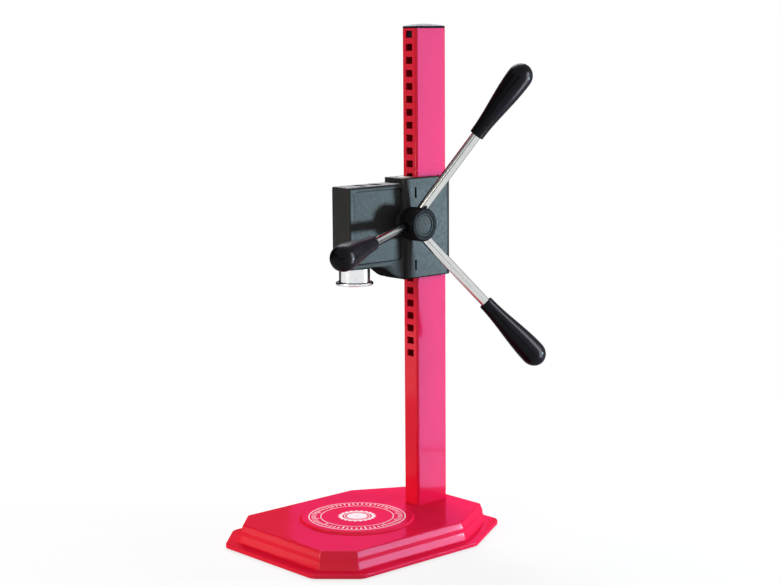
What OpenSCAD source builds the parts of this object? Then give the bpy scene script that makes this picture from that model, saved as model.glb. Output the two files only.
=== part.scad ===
// Bench capper for crown caps: pressed base, slotted column, geared head and three-spoke wheel.
// Millimetres. The origin is the centre of the bottle pad's top face, on the bell's axis.
// +Z is up, the column stands towards +X, and the wheel is on the head's -Y side.

/* [Base] */
// Length of the flat deck, front to back
deck_length = 230; // [220:1:260]
// Width of the flat deck
deck_width = 170; // [150:1:200]
// Distance from the column's axis to the deck's back edge
column_setback = 33; // [33:0.5:45]
// Length of each front corner cut, along the deck's side
front_cut_length = 25; // [15:1:35]
// Width of each front corner cut, across the deck's front
front_cut_width = 24; // [15:1:35]
// Length of each rear corner cut, along the deck's side
rear_cut_length = 64; // [45:1:70]
// Width of each rear corner cut, across the deck's back
rear_cut_width = 36; // [25:1:42]
// Height of each of the two sloping bands below the deck
band_height = 9; // [7:0.5:12]
// Outward spread of each sloping band
band_spread = 2.2; // [1:0.1:4]
// Width of the ledge between the two bands
band_ledge = 1; // [0.5:0.1:2]
// Width of the rim flange
rim_width = 12; // [11:0.5:18]
// Height of the rim's turned-down edge
rim_height = 4; // [3:0.5:6]
// Bevel along the rim's top edge
rim_bevel = 1; // [0.4:0.1:1.5]
// Thickness of the pressed sheet
sheet_thickness = 2; // [1.5:0.1:2.5]
// Corner radius of the deck's outline
deck_corner = 4; // [3:0.5:8]
// Corner radius of the rim's outline
rim_corner = 9; // [6:0.5:14]
// Radius of the raised bottle pad
pad_radius = 58.5; // [45:0.5:62]
// Height of the bottle pad above the deck
pad_rise = 2; // [1:0.25:3]
// Width of the pad's sloping edge
pad_edge = 1.4; // [0.5:0.1:2]

/* [Feet] */
// Radius of a rubber foot
foot_radius = 4.5; // [3.5:0.25:4.5]
// Distance the feet stand out below the rim
foot_drop = 1; // [0.5:0.25:3]

/* [Column] */
// Distance from the bottle's axis to the column's axis
column_reach = 97; // [94:0.5:102]
// Depth of the tube's section, front to back
column_depth = 42; // [36:1:44]
// Width of the tube's section
column_width = 21; // [18:0.5:22]
// Wall of the tube
column_wall = 2; // [1.5:0.1:2.5]
// Outer corner radius of the tube
column_corner = 2.6; // [2.6:0.05:4]
// Height of the tube above the deck
column_height = 495.5; // [480:0.5:540]
// Number of rack slots
slot_count = 26; // [24:1:26]
// Spacing of the rack slots
slot_pitch = 13.1; // [12.6:0.05:13.4]
// Height of a rack slot
slot_height = 7; // [6.8:0.1:7.4]
// Width of a rack slot
slot_width = 9.4; // [9:0.1:11]
// Distance from the tube's top end to the middle of the top slot
slot_margin = 6; // [5:0.5:12]

/* [Column fixing] */
// Height of the tapped block inside the tube's lower end
block_height = 25; // [22:1:40]
// Length of the backing plate under the deck
plate_length = 60; // [48:1:62]
// Width of the backing plate under the deck
plate_width = 70; // [50:1:80]
// Thickness of the backing plate
plate_thickness = 4; // [3:0.5:5]
// Spacing of the two base bolts
bolt_spacing = 20; // [16:0.5:20]
// Radius of a base bolt
bolt_radius = 4; // [3:0.5:4]
// Depth of the bolts' grip in the tapped block
bolt_grip = 18; // [12:1:19]
// Height of a bolt's head
bolt_head_height = 5.3; // [4:0.1:6]
// Thickness of a washer
washer_thickness = 1.6; // [1:0.1:2]

/* [Column cap] */
// Thickness of the cap's flange on the tube's end
cap_flange = 2; // [1.5:0.1:3]
// Height of the cap's crown
cap_crown = 2.4; // [1:0.1:3]
// Depth of the cap's skirt inside the tube
cap_skirt = 10; // [6:0.5:16]
// Wall of the cap's skirt
cap_wall = 1.6; // [1:0.1:2.4]

/* [Head] */
// Height of the wheel's axis above the bottle pad
axis_height = 298; // [250:0.5:340]
// Distance from the bell's axis to the arm's free end
arm_end = 18; // [14:0.5:24]
// Width of the arm
arm_width = 27; // [25:0.5:29]
// Height of the arm's top above the wheel's axis
arm_rise = 40.5; // [36:0.5:44]
// Depth of the arm's underside below the wheel's axis
arm_drop = 41.5; // [39:0.5:48]
// Radius along the arm's edges
arm_edge = 2.5; // [1:0.25:4]
// Length of the curve where the arm's underside runs down to the collar
gusset_length = 31; // [20:1:35]
// Depth of that curve
gusset_drop = 14.5; // [8:0.5:15]
// Width of the rim above and below the arm's sunk side panels
panel_rim = 5; // [4:0.5:10]
// Width of the rim at the free end of the sunk side panels
panel_end_rim = 7.5; // [4:0.5:10]
// Depth of the sunk side panels
panel_depth = 1.5; // [0.5:0.1:2]
// Corner radius of the sunk side panels
panel_corner = 4; // [2:0.5:8]
// Number of pockets in the arm's top
pocket_count = 2; // [1:1:2]
// Distance from the arm's free end to the middle of the first pocket
pocket_start = 26; // [14:0.5:28]
// Spacing of the pockets
pocket_pitch = 20; // [12:0.5:22]
// Length of a pocket along the arm
pocket_length = 8; // [5:0.5:10]
// Wall beside a pocket
pocket_wall = 4; // [3:0.25:8]
// Depth of a pocket
pocket_depth = 4; // [2:0.25:6]
// Distance from the column's axis to the collar's front
collar_front = 43; // [41:0.5:46]
// Distance from the column's axis to the collar's back
collar_back = 25; // [25:0.5:30]
// Width of the collar
collar_width = 32; // [31:0.5:38]
// Height of the collar's top above the wheel's axis
collar_rise = 45.5; // [45:0.5:52]
// Depth of the collar's underside below the wheel's axis
collar_drop = 57.5; // [56:0.5:64]
// Corner radius at the collar's front
collar_corner = 4; // [2:0.5:8]
// Corner radius at the collar's back
collar_back_corner = 9; // [6:0.5:10]
// Radius along the collar's top and bottom edges
collar_edge = 1.5; // [0.8:0.1:2.5]
// Clearance round the column inside the collar
column_clearance = 0.6; // [0.4:0.05:0.8]

/* [Guides] */
// Clearance between the guides and the column
guide_clearance = 0.2; // [0.1:0.05:0.3]
// Depth of a front guide block
guide_depth = 9.8; // [9:0.1:10.5]
// Width of a front guide block
guide_width = 16; // [12:0.5:18]
// Height of a front guide block
guide_height = 22; // [21:0.5:23]
// Thickness of a flat key through the collar's sides
key_thickness = 2; // [1.5:0.1:2.5]
// Height of a flat key
key_height = 10; // [8:0.5:11]
// Distance from a guide block's front to its key
key_setback = 2.5; // [2:0.1:3]
// Depth of a key's end below the collar's side
key_recess = 1.5; // [0.5:0.1:2]
// Height of the upper key's middle above the wheel's axis
upper_key_rise = 30.5; // [29.5:0.25:31.5]
// Depth of the lower key's middle below the wheel's axis
lower_key_drop = 43.75; // [42:0.25:45]
// Thickness of a rear guide pad
pad_guide_thickness = 2; // [1.8:0.1:2.4]
// Width of a rear guide pad
pad_guide_width = 12; // [8:0.5:14]
// Height of a rear guide pad
pad_guide_height = 18; // [12:0.5:24]
// Distance from the collar's ends to the rear guide pads
pad_guide_inset = 4; // [2:0.5:8]

/* [Pinion] */
// Number of pinion teeth
pinion_teeth = 8; // [8:1:9]
// Width of the teeth, along the shaft
tooth_width = 8.4; // [7.5:0.1:8.6]
// Thickness of a tooth at the pitch line
tooth_thickness = 5.6; // [5:0.1:5.8]
// Thickness of a tooth at its tip
tip_thickness = 4; // [3:0.1:4.4]
// Height of a tooth above the pitch line
tooth_rise = 2.7; // [2:0.1:3]
// Depth of the root circle below the pitch line
tooth_drop = 3.6; // [3:0.1:4.5]
// Room round the pinion inside its chamber
chamber_gap = 1.4; // [1:0.1:2]
// Radius of the pinion's bosses
boss_radius = 11.5; // [10.5:0.25:12]
// Radius of the cross pin
pin_radius = 2; // [1.5:0.1:2.5]

/* [Shaft] */
// Radius of the shaft
shaft_radius = 7; // [6:0.25:7.5]
// Running clearance of the shaft in its bushes
running_clearance = 0.05; // [0.02:0.01:0.09]
// Wall of a bush
bush_wall = 3; // [2:0.25:3.5]
// Depth of the rear bush in its cover
rear_bush_length = 9.3; // [7:0.1:11]
// Thickness of the bearing cover's flange
cover_flange = 3; // [2:0.25:4]
// Width of the bearing cover's flange
cover_rim = 6.5; // [6:0.25:8]
// Wall behind the rear bush
cover_wall = 2.5; // [2:0.25:4]
// Room between the bearing cover's plug and the column
plug_gap = 1; // [0.7:0.1:1.5]
// Height of the cover's seat above the collar's side
rear_boss = 1.5; // [1:0.25:3]
// Height of the front boss above the collar's side
front_boss = 1; // [0.5:0.25:2]
// Radius of the front boss
front_boss_radius = 15; // [14:0.25:16]
// Radius of a cover screw
cover_screw_radius = 2; // [1.5:0.25:2]
// Depth of a cover screw's grip
cover_screw_grip = 5.2; // [4:0.1:5.4]
// Number of cover screws
cover_screw_count = 3; // [3:1:4]

/* [Hub] */
// Radius of the hub
hub_radius = 17; // [16:0.25:20]
// Length of the hub
hub_length = 21; // [20:0.25:24]
// Radius round the hub's front edge
hub_edge = 1.7; // [0.8:0.1:2.5]
// Gap between the front boss and the hub
hub_gap = 1.2; // [0.8:0.1:1.3]
// Running gap of the friction washer
washer_gap = 0.15; // [0.1:0.05:0.25]
// Thickness of the friction washer
friction_thickness = 1.5; // [1.2:0.1:1.6]
// Height of the spring washer
spring_height = 1.4; // [1.1:0.1:1.5]
// Radial width of both washers
washer_width = 4; // [3:0.25:4.5]
// Depth of the flat on the shaft's driving end
flat_depth = 1.5; // [0.8:0.1:2]
// Thickness of the hub's web at the shaft's end
hub_web = 2.5; // [2:0.1:3.5]
// Radius of the hub screw
hub_screw_radius = 3; // [2.5:0.25:3]
// Height of the hub screw's head
hub_screw_head = 2.8; // [2:0.1:3]
// Length of the hub screw's grip in the shaft
hub_screw_grip = 12; // [8:0.5:14]
// Radius of the cap disc in the hub's face
hub_cap_radius = 12; // [9:0.25:13]
// Thickness of the cap disc
hub_cap_thickness = 2.2; // [1.5:0.1:3]
// Depth of the cap disc below the hub's face
hub_cap_inset = 0.3; // [0.2:0.1:0.6]

/* [Spokes] */
// Number of spokes
spoke_count = 3; // [3:1:3]
// Angle of the first spoke above the horizontal
spoke_turn = 64.4; // [40:0.2:80]
// Lean of the spokes away from the head
spoke_lean = 27.2; // [24:0.2:29]
// Distance of the spokes' meeting point behind the hub's face
spoke_root = 20.6; // [19.6:0.1:21]
// Radius of a rod
rod_radius = 5; // [4:0.25:5]
// Distance from the spokes' meeting point to a rod's inner end
rod_start = 14; // [13.5:0.25:15]
// Distance from the spokes' meeting point to a grip's mouth
grip_start = 111; // [90:1:130]
// Length of a grip
grip_length = 86; // [70:1:100]
// Radius of a grip's mouth
grip_mouth = 7.5; // [7:0.25:9]
// Largest radius of a grip
grip_belly = 12.75; // [11:0.25:15]
// Length of a grip's rounded end
grip_dome = 14; // [10:0.5:20]
// Depth of the rod in its grip
grip_bore = 60; // [40:1:65]

/* [Bell] */
// Height of the bell below the arm
bell_height = 17; // [16.5:0.25:22]
// Outer radius of the bell's body
bell_radius = 15.6; // [15.5:0.1:17]
// Outer radius of the bell's lip
lip_radius = 19; // [17.5:0.25:21]
// Height of the bell's lip
lip_height = 3.4; // [2.5:0.1:4]
// Inner radius of the bell's throat
throat_radius = 14.2; // [13.8:0.1:14.4]
// Depth of the throat above the mouth
throat_depth = 10.5; // [9:0.25:11]
// Radius of the bell's flared mouth
mouth_radius = 16.6; // [15:0.1:17]
// Height of the flared mouth
mouth_height = 2.6; // [1.5:0.1:3]
// Radius of the bell's neck inside the arm
neck_radius = 9; // [8:0.25:10]
// Height of the bell's neck inside the arm
neck_height = 9.5; // [6:0.25:12]
// Radius of the cap magnet
magnet_radius = 8; // [5:0.25:9]
// Thickness of the cap magnet
magnet_thickness = 3; // [2:0.25:3.5]
// Radius of the bell's stud
stud_radius = 5; // [4:0.25:5.5]
// Wall of the threaded insert in the arm
insert_wall = 3; // [2:0.25:4]
// Height of the threaded insert in the arm
insert_height = 22; // [16:0.5:26]

/* [Hidden] */
$fn = 64;
// Overlap of a cutting tool past the face that it cuts
lap = 0.5;
// Clearance of parts that fit into each other without moving
fit = 0.1;
// Clearance of a thread in its hole
thread_fit = 0.05;
// Extra depth of a tapped hole past its screw's end
hole_runout = 1;

// Base levels
deck_front = deck_length - column_setback - column_reach;
deck_z = -pad_rise;
ledge_z = deck_z - band_height;
rim_z = ledge_z - band_height;
rim_foot_z = rim_z - rim_height;
floor_z = rim_foot_z - foot_drop;
deck_under_z = deck_z - sheet_thickness;
ledge_offset = band_spread + band_ledge;
band_foot = ledge_offset + band_spread;
rim_offset = band_foot + rim_width;
foot_offset = band_foot + (rim_width - sheet_thickness) / 2;
corner_steps = 4;

// Column levels
column_x = column_reach;
column_front_x = column_x - column_depth / 2;
column_back_x = column_x + column_depth / 2;
column_top_z = deck_z + column_height;
bore_depth = column_depth - 2 * column_wall;
bore_width = column_width - 2 * column_wall;
bore_corner = column_corner - column_wall;
slot_top_z = column_top_z - slot_margin;
bolt_x = [column_x - bolt_spacing / 2, column_x + bolt_spacing / 2];
plate_under_z = deck_under_z - plate_thickness;
washer_under_z = plate_under_z - washer_thickness;
bolt_washer_radius = 2 * bolt_radius;
bolt_head_radius = 1.85 * bolt_radius;

// Pinion: the pitch line runs in the middle of the column's front wall
pitch_radius = pinion_teeth * slot_pitch / (2 * PI);
pinion_x = column_front_x + column_wall / 2 - pitch_radius;
tip_radius = pitch_radius + tooth_rise;
root_radius = pitch_radius - tooth_drop;
chamber_radius = tip_radius + chamber_gap;
pinion_phase = (axis_height - slot_top_z) / pitch_radius * 180 / PI;

// Head levels
arm_top_z = axis_height + arm_rise;
arm_under_z = axis_height - arm_drop;
collar_top_z = axis_height + collar_rise;
collar_under_z = axis_height - collar_drop;
collar_front_x = column_x - collar_front;
collar_back_x = column_x + collar_back;
gusset_end_x = collar_front_x - arm_edge;
gusset_steps = 12;
guide_x = column_front_x - guide_clearance - guide_depth;
key_x = guide_x + key_setback + key_thickness / 2;
key_levels = [axis_height + upper_key_rise, axis_height - lower_key_drop];
pad_guide_x = column_back_x + guide_clearance;
pad_guide_levels = [
    collar_top_z - pad_guide_inset - pad_guide_height,
    collar_under_z + pad_guide_inset
];

// Places along the wheel's axis
chamber_front_y = -tooth_width / 2 - chamber_gap;
front_face_y = -collar_width / 2 - front_boss;
seat_y = collar_width / 2 + rear_boss;
plug_y = column_width / 2 + plug_gap;
bush_end_y = plug_y + rear_bush_length;
boss_gap = 0.4;
bush_radius = shaft_radius + running_clearance + bush_wall;
cover_radius = chamber_radius + cover_rim;
cover_screw_circle = chamber_radius + cover_rim / 2;
cover_screw_head = cover_screw_radius;
cover_head_radius = 1.8 * cover_screw_radius;
cover_head_top = 1.4 * cover_screw_radius;
washer_y = front_face_y - washer_gap;
spring_y = washer_y - friction_thickness;
spring_end_y = spring_y - spring_height;
washer_radius = shaft_radius + fit + washer_width;
hub_rear_y = front_face_y - hub_gap;
hub_front_y = hub_rear_y - hub_length;
hub_cap_y = hub_front_y + hub_cap_inset + hub_cap_thickness;
hub_head_y = hub_cap_y + fit + hub_screw_head;
hub_head_radius = 1.7 * hub_screw_radius;
shaft_front_y = hub_head_y + hub_web + fit;
spoke_y = hub_front_y + spoke_root;
grip_swell = grip_length - grip_dome;
grip_steps = 14;
dome_steps = 10;

// Bell levels
bell_under_z = arm_under_z - bell_height;
lip_round = lip_height / 2;
lip_steps = 8;
magnet_z = bell_under_z + throat_depth;
neck_top_z = arm_under_z + neck_height;
insert_top_z = neck_top_z + insert_height;

// How far a cut corner's end slides along its side for each millimetre of outward offset
function cut_slide(along, across) = (sqrt(along * along + across * across) - along) / across;

// The deck's eight corner points, anticlockwise, moved outwards by d
function cut_corners(d) =
    let (
        front_x = -deck_front - d,
        back_x = deck_length - deck_front + d,
        side_y = deck_width / 2 + d,
        front_turn_x = front_cut_length - deck_front - d * cut_slide(front_cut_length, front_cut_width),
        back_turn_x = deck_length - deck_front - rear_cut_length
            + d * cut_slide(rear_cut_length, rear_cut_width),
        front_turn_y = deck_width / 2 - front_cut_width + d * cut_slide(front_cut_width, front_cut_length),
        back_turn_y = deck_width / 2 - rear_cut_width + d * cut_slide(rear_cut_width, rear_cut_length)
    )
    [
        [back_x, -back_turn_y], [back_x, back_turn_y],
        [back_turn_x, side_y], [front_turn_x, side_y],
        [front_x, front_turn_y], [front_x, -front_turn_y],
        [front_turn_x, -side_y], [back_turn_x, -side_y]
    ];

// Direction square to the line from p to q, pointing out of an anticlockwise outline
function outward(p, q) = atan2(q[1] - p[1], q[0] - p[0]) - 90;

// The deck's outline moved outwards by d, with corners of radius r
function outline(d, r) =
    let (c = cut_corners(d - r), n = len(c))
    [
        for (i = [0 : n - 1])
            let (
                start = outward(c[(i + n - 1) % n], c[i]),
                turn = (outward(c[i], c[(i + 1) % n]) - start + 720) % 360
            )
            for (s = [0 : corner_steps])
                c[i] + r * [cos(start + turn * s / corner_steps), sin(start + turn * s / corner_steps)]
    ];

// Inner corner radius that follows an outer one through the sheet
function inner_corner(r) = max(r - sheet_thickness, lap);

// Middle of the cut corner between outline points i and i + 1, moved outwards by d
function cut_middle(i, d) =
    let (c = cut_corners(d))
    (c[i] + c[(i + 1) % len(c)]) / 2;

// Height of the arm's underside at share t of the gusset's length
function gusset_z(t) = arm_under_z - gusset_drop * (1 - cos(180 * t)) / 2;

// Radius of a grip at distance s from its mouth
function grip_radius(s) = grip_mouth + (grip_belly - grip_mouth) * (1 - cos(180 * s / grip_swell)) / 2;

// Solid between two outlines with the same number of points
module loft(lower, low_z, upper, high_z) {
    n = len(lower);
    polyhedron(
        points = concat(
            [for (p = lower) [p[0], p[1], low_z]],
            [for (p = upper) [p[0], p[1], high_z]]
        ),
        faces = concat(
            [[for (i = [0 : n - 1]) i]],
            [[for (i = [0 : n - 1]) 2 * n - 1 - i]],
            [for (i = [0 : n - 1]) [i, n + i, (i + 1) % n]],
            [for (i = [0 : n - 1]) [n + i, n + (i + 1) % n, (i + 1) % n]]
        )
    );
}

// Flat rectangle with round corners, centred
module round_rectangle(length, width, r) {
    square([length - 2 * r, width], center = true);
    square([length, width - 2 * r], center = true);
    for (x = [-1, 1], y = [-1, 1])
        translate([x * (length / 2 - r), y * (width / 2 - r)])
            circle(r = r);
}

// Upright bar on the column's axis
module column_bar(length, width, r, z, height) {
    translate([column_x, 0, z])
        linear_extrude(height = height)
            round_rectangle(length, width, r);
}

// Places children on the wheel's axis at y, with their +Z pointing out towards the wheel
module on_axis(y) {
    translate([pinion_x, y, axis_height])
        rotate([90, 0, 0])
            children();
}

// Places children on spoke i, with their +Z running out along it from the spokes' meeting point
module on_spoke(i) {
    translate([pinion_x, spoke_y, axis_height])
        rotate([0, -spoke_turn + i * 360 / spoke_count, 0])
            rotate([0, 0, -spoke_lean])
                rotate([0, 90, 0])
                    children();
}

// Places children at each cover screw, on the cover's outer face, with +Z pointing into the head
module at_cover_screws() {
    for (i = [0 : cover_screw_count - 1])
        translate([pinion_x, seat_y + cover_flange, axis_height])
            rotate([0, -90 - i * 360 / cover_screw_count, 0])
                translate([cover_screw_circle, 0, 0])
                    rotate([90, 0, 0])
                        children();
}

// Base

module base_shell(d, drop, corner_change) {
    loft(
        outline(band_spread + d, deck_corner + corner_change), ledge_z - drop,
        outline(d, deck_corner + corner_change), deck_z - drop
    );
    loft(
        outline(band_foot + d, deck_corner + corner_change), rim_z - drop,
        outline(ledge_offset + d, deck_corner + corner_change), ledge_z - drop
    );
}

module base_plate() {
    color("crimson")
        difference() {
            union() {
                base_shell(0, 0, 0);
                loft(
                    outline(rim_offset, rim_corner), rim_foot_z,
                    outline(rim_offset, rim_corner), rim_z - rim_bevel
                );
                loft(
                    outline(rim_offset, rim_corner), rim_z - rim_bevel,
                    outline(rim_offset - rim_bevel, rim_corner), rim_z
                );
                translate([0, 0, deck_z])
                    cylinder(h = pad_rise, r1 = pad_radius, r2 = pad_radius - pad_edge);
            }
            base_shell(-sheet_thickness, sheet_thickness, inner_corner(deck_corner) - deck_corner);
            loft(
                outline(rim_offset - sheet_thickness, inner_corner(rim_corner)), rim_foot_z - lap,
                outline(rim_offset - sheet_thickness, inner_corner(rim_corner)), rim_z - sheet_thickness
            );
            translate([0, 0, deck_under_z - lap])
                cylinder(h = pad_rise + lap, r = pad_radius - pad_edge - sheet_thickness);
            for (x = bolt_x)
                translate([x, 0, deck_under_z - lap])
                    cylinder(h = sheet_thickness + 2 * lap, r = bolt_radius + fit);
        }
}

module rubber_feet() {
    color("black")
        for (i = [1, 3, 5, 7])
            translate(concat(cut_middle(i, foot_offset), floor_z))
                cylinder(h = rim_z - sheet_thickness - floor_z, r = foot_radius);
}

module backing_plate() {
    color("silver")
        difference() {
            column_bar(plate_length, plate_width, deck_corner, plate_under_z, plate_thickness);
            for (x = bolt_x)
                translate([x, 0, plate_under_z - lap])
                    cylinder(h = plate_thickness + 2 * lap, r = bolt_radius + fit);
        }
}

module base_washers() {
    color("silver")
        for (x = bolt_x)
            translate([x, 0, washer_under_z])
                difference() {
                    cylinder(h = washer_thickness, r = bolt_washer_radius);
                    translate([0, 0, -lap])
                        cylinder(h = washer_thickness + 2 * lap, r = bolt_radius + fit);
                }
}

module base_bolts() {
    color("silver")
        for (x = bolt_x)
            translate([x, 0, washer_under_z]) {
                translate([0, 0, -bolt_head_height])
                    cylinder(h = bolt_head_height, r = bolt_head_radius, $fn = 6);
                cylinder(h = deck_z + bolt_grip - washer_under_z, r = bolt_radius);
            }
}

// Column

module column_tube() {
    color("crimson")
        difference() {
            column_bar(column_depth, column_width, column_corner, deck_z, column_height);
            column_bar(bore_depth, bore_width, bore_corner, deck_z - lap, column_height + 2 * lap);
            for (i = [0 : slot_count - 1])
                translate([
                    column_front_x - lap,
                    -slot_width / 2,
                    slot_top_z - i * slot_pitch - slot_height / 2
                ])
                    cube([column_wall + 2 * lap, slot_width, slot_height]);
        }
}

module column_foot() {
    color("silver")
        difference() {
            column_bar(bore_depth - 2 * fit, bore_width - 2 * fit, bore_corner, deck_z, block_height);
            for (x = bolt_x)
                translate([x, 0, deck_z - lap])
                    cylinder(h = lap + bolt_grip + hole_runout, r = bolt_radius + thread_fit);
        }
}

module column_cap() {
    crown_z = column_top_z + cap_flange + cap_crown;
    arch_long = (column_depth * column_depth / 4 + cap_crown * cap_crown) / (2 * cap_crown);
    arch_short = (column_width * column_width / 4 + cap_crown * cap_crown) / (2 * cap_crown);
    color([0.05, 0.05, 0.06])
        difference() {
            union() {
                intersection() {
                    column_bar(column_depth, column_width, column_corner, column_top_z, cap_flange + cap_crown);
                    translate([column_x, 0, crown_z - arch_long])
                        rotate([90, 0, 0])
                            cylinder(h = column_depth, r = arch_long, center = true, $fn = 128);
                    translate([column_x, 0, crown_z - arch_short])
                        rotate([0, 90, 0])
                            cylinder(h = 2 * column_depth, r = arch_short, center = true, $fn = 128);
                }
                column_bar(
                    bore_depth - 2 * fit, bore_width - 2 * fit, bore_corner,
                    column_top_z - cap_skirt, cap_skirt + cap_flange / 2
                );
            }
            column_bar(
                bore_depth - 2 * cap_wall, bore_width - 2 * cap_wall, bore_corner,
                column_top_z - cap_skirt - lap, cap_skirt + lap
            );
        }
}

// Head

module arm() {
    length = pinion_x + arm_end;
    height = arm_top_z - collar_under_z;
    gusset_start_x = gusset_end_x - gusset_length;
    intersection() {
        translate([0, arm_width / 2, 0])
            rotate([90, 0, 0])
                linear_extrude(height = arm_width) {
                    translate([pinion_x - length / 2, (arm_top_z + arm_under_z) / 2])
                        round_rectangle(length, arm_top_z - arm_under_z, arm_edge);
                    polygon(concat(
                        [[gusset_start_x, arm_under_z + arm_edge], [gusset_start_x, arm_under_z]],
                        [
                            for (s = [1 : gusset_steps])
                                [
                                    gusset_start_x + gusset_length * s / gusset_steps,
                                    gusset_z(s / gusset_steps)
                                ]
                        ],
                        [[pinion_x, arm_under_z - gusset_drop], [pinion_x, arm_under_z + arm_edge]]
                    ));
                }
        translate([pinion_x - length / 2 + arm_edge, 0, collar_under_z])
            linear_extrude(height = height)
                round_rectangle(length + 2 * arm_edge, arm_width, arm_edge);
        translate([-arm_end, 0, arm_top_z - height / 2])
            rotate([90, 0, 90])
                linear_extrude(height = length)
                    round_rectangle(arm_width, height, arm_edge);
    }
}

module collar() {
    length = collar_back_x - collar_front_x;
    height = collar_top_z - collar_under_z;
    translate([(collar_front_x + collar_back_x) / 2, 0, collar_under_z + height / 2])
        intersection() {
            linear_extrude(height = height, center = true)
                round_rectangle(length, collar_width, collar_corner);
            linear_extrude(height = height, center = true)
                translate([-collar_back_corner, 0])
                    round_rectangle(length + 2 * collar_back_corner, collar_width, collar_back_corner);
            rotate([90, 0, 0])
                linear_extrude(height = collar_width, center = true)
                    round_rectangle(length, height, collar_edge);
            rotate([90, 0, 90])
                linear_extrude(height = length, center = true)
                    round_rectangle(collar_width, height, collar_edge);
        }
}

module arm_pockets() {
    width = arm_width - 2 * pocket_wall;
    for (i = [0 : pocket_count - 1])
        translate([
            pocket_start - arm_end - pocket_length / 2 + i * pocket_pitch,
            -width / 2,
            arm_top_z - pocket_depth
        ])
            cube([pocket_length, width, pocket_depth + lap]);
}

module side_panels() {
    panel_length = collar_front_x + arm_end - panel_end_rim - panel_depth;
    panel_height = arm_top_z - arm_under_z - 2 * panel_rim;
    for (side = [-1, 1])
        translate([
            panel_end_rim - arm_end + panel_length / 2,
            side * (arm_width / 2 - panel_depth / 2 + lap / 2),
            (arm_top_z + arm_under_z) / 2
        ])
            rotate([90, 0, 0])
                linear_extrude(height = panel_depth + lap, center = true)
                    round_rectangle(panel_length, panel_height, panel_corner);
}

module guide_pocket(low_z, high_z) {
    translate([guide_x - fit, -guide_width / 2 - fit, low_z])
        cube([guide_depth + guide_clearance + 2 * fit, guide_width + 2 * fit, high_z - low_z]);
}

module key_slots(clearance) {
    for (z = key_levels)
        translate([key_x, 0, z])
            cube(
                [key_thickness + 2 * clearance, 2 * collar_width, key_height + 2 * clearance],
                center = true
            );
}

module head_body() {
    passage_length = column_depth + 2 * column_clearance;
    passage_width = column_width + 2 * column_clearance;
    color([0.30, 0.34, 0.36])
        difference() {
            union() {
                difference() {
                    arm();
                    side_panels();
                    arm_pockets();
                }
                collar();
                on_axis(0)
                    cylinder(h = -front_face_y, r = front_boss_radius);
                on_axis(seat_y)
                    cylinder(h = seat_y, r = cover_radius);
            }
            translate([column_x, 0, axis_height])
                cube([passage_length, passage_width, 4 * collar_drop], center = true);
            on_axis(seat_y + lap)
                cylinder(h = seat_y + lap - chamber_front_y, r = chamber_radius);
            on_axis(0)
                cylinder(h = lap - front_face_y, r = bush_radius);
            at_cover_screws()
                cylinder(h = cover_flange + cover_screw_grip, r = cover_screw_radius + thread_fit);
            guide_pocket(collar_top_z - guide_height, collar_top_z + lap);
            guide_pocket(collar_under_z - lap, collar_under_z + guide_height);
            key_slots(fit);
            for (z = pad_guide_levels)
                translate([column_back_x, -pad_guide_width / 2 - fit, z - fit])
                    cube([
                        guide_clearance + pad_guide_thickness + fit,
                        pad_guide_width + 2 * fit,
                        pad_guide_height + 2 * fit
                    ]);
            translate([0, 0, arm_under_z - lap])
                cylinder(h = neck_height + lap, r = neck_radius + fit);
            translate([0, 0, neck_top_z - lap])
                cylinder(h = insert_height + lap, r = stud_radius + thread_fit + insert_wall);
        }
}

module guide_block(low_z) {
    color([0.92, 0.91, 0.86])
        difference() {
            translate([guide_x, -guide_width / 2, low_z])
                cube([guide_depth, guide_width, guide_height - fit]);
            key_slots(fit);
        }
}

module guide_block_upper() {
    guide_block(collar_top_z - guide_height + fit);
}

module guide_block_lower() {
    guide_block(collar_under_z);
}

module guide_keys() {
    color("silver")
        intersection() {
            key_slots(0);
            translate([key_x, 0, axis_height])
                cube([4 * key_thickness, collar_width - 2 * key_recess, 4 * collar_drop], center = true);
        }
}

module rear_guide_pads() {
    color([0.92, 0.91, 0.86])
        for (z = pad_guide_levels)
            translate([pad_guide_x, -pad_guide_width / 2, z])
                cube([pad_guide_thickness, pad_guide_width, pad_guide_height]);
}

module bush(y, length) {
    color("peru")
        on_axis(y)
            difference() {
                cylinder(h = length, r = bush_radius);
                translate([0, 0, -lap])
                    cylinder(h = length + 2 * lap, r = shaft_radius + running_clearance);
            }
}

module bush_front() {
    bush(chamber_front_y, chamber_front_y - front_face_y);
}

module bush_rear() {
    bush(bush_end_y, rear_bush_length);
}

module bearing_cover() {
    color([0.30, 0.34, 0.36])
        difference() {
            union() {
                on_axis(seat_y)
                    cylinder(h = seat_y - plug_y, r = chamber_radius - fit);
                on_axis(seat_y + cover_flange)
                    cylinder(h = cover_flange, r = cover_radius);
                on_axis(bush_end_y + cover_wall)
                    cylinder(h = bush_end_y + cover_wall - seat_y, r = bush_radius + cover_wall);
            }
            on_axis(bush_end_y)
                cylinder(h = rear_bush_length + lap, r = bush_radius);
            at_cover_screws()
                translate([0, 0, -lap])
                    cylinder(h = cover_flange + 2 * lap, r = cover_screw_radius + fit);
        }
}

module cover_screws() {
    color("silver")
        at_cover_screws() {
            cylinder(h = cover_flange + cover_screw_grip - lap, r = cover_screw_radius);
            translate([0, 0, -cover_screw_head])
                cylinder(h = cover_screw_head, r1 = cover_head_top, r2 = cover_head_radius);
        }
}

// Bell

module bell_insert() {
    color("goldenrod")
        translate([0, 0, neck_top_z])
            difference() {
                cylinder(h = insert_height, r = stud_radius + thread_fit + insert_wall);
                translate([0, 0, -lap])
                    cylinder(h = insert_height + 2 * lap, r = stud_radius + thread_fit);
            }
}

module bell_stud() {
    color("silver")
        translate([0, 0, magnet_z + magnet_thickness + fit])
            cylinder(h = insert_top_z - lap - magnet_z - magnet_thickness - fit, r = stud_radius);
}

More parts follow.
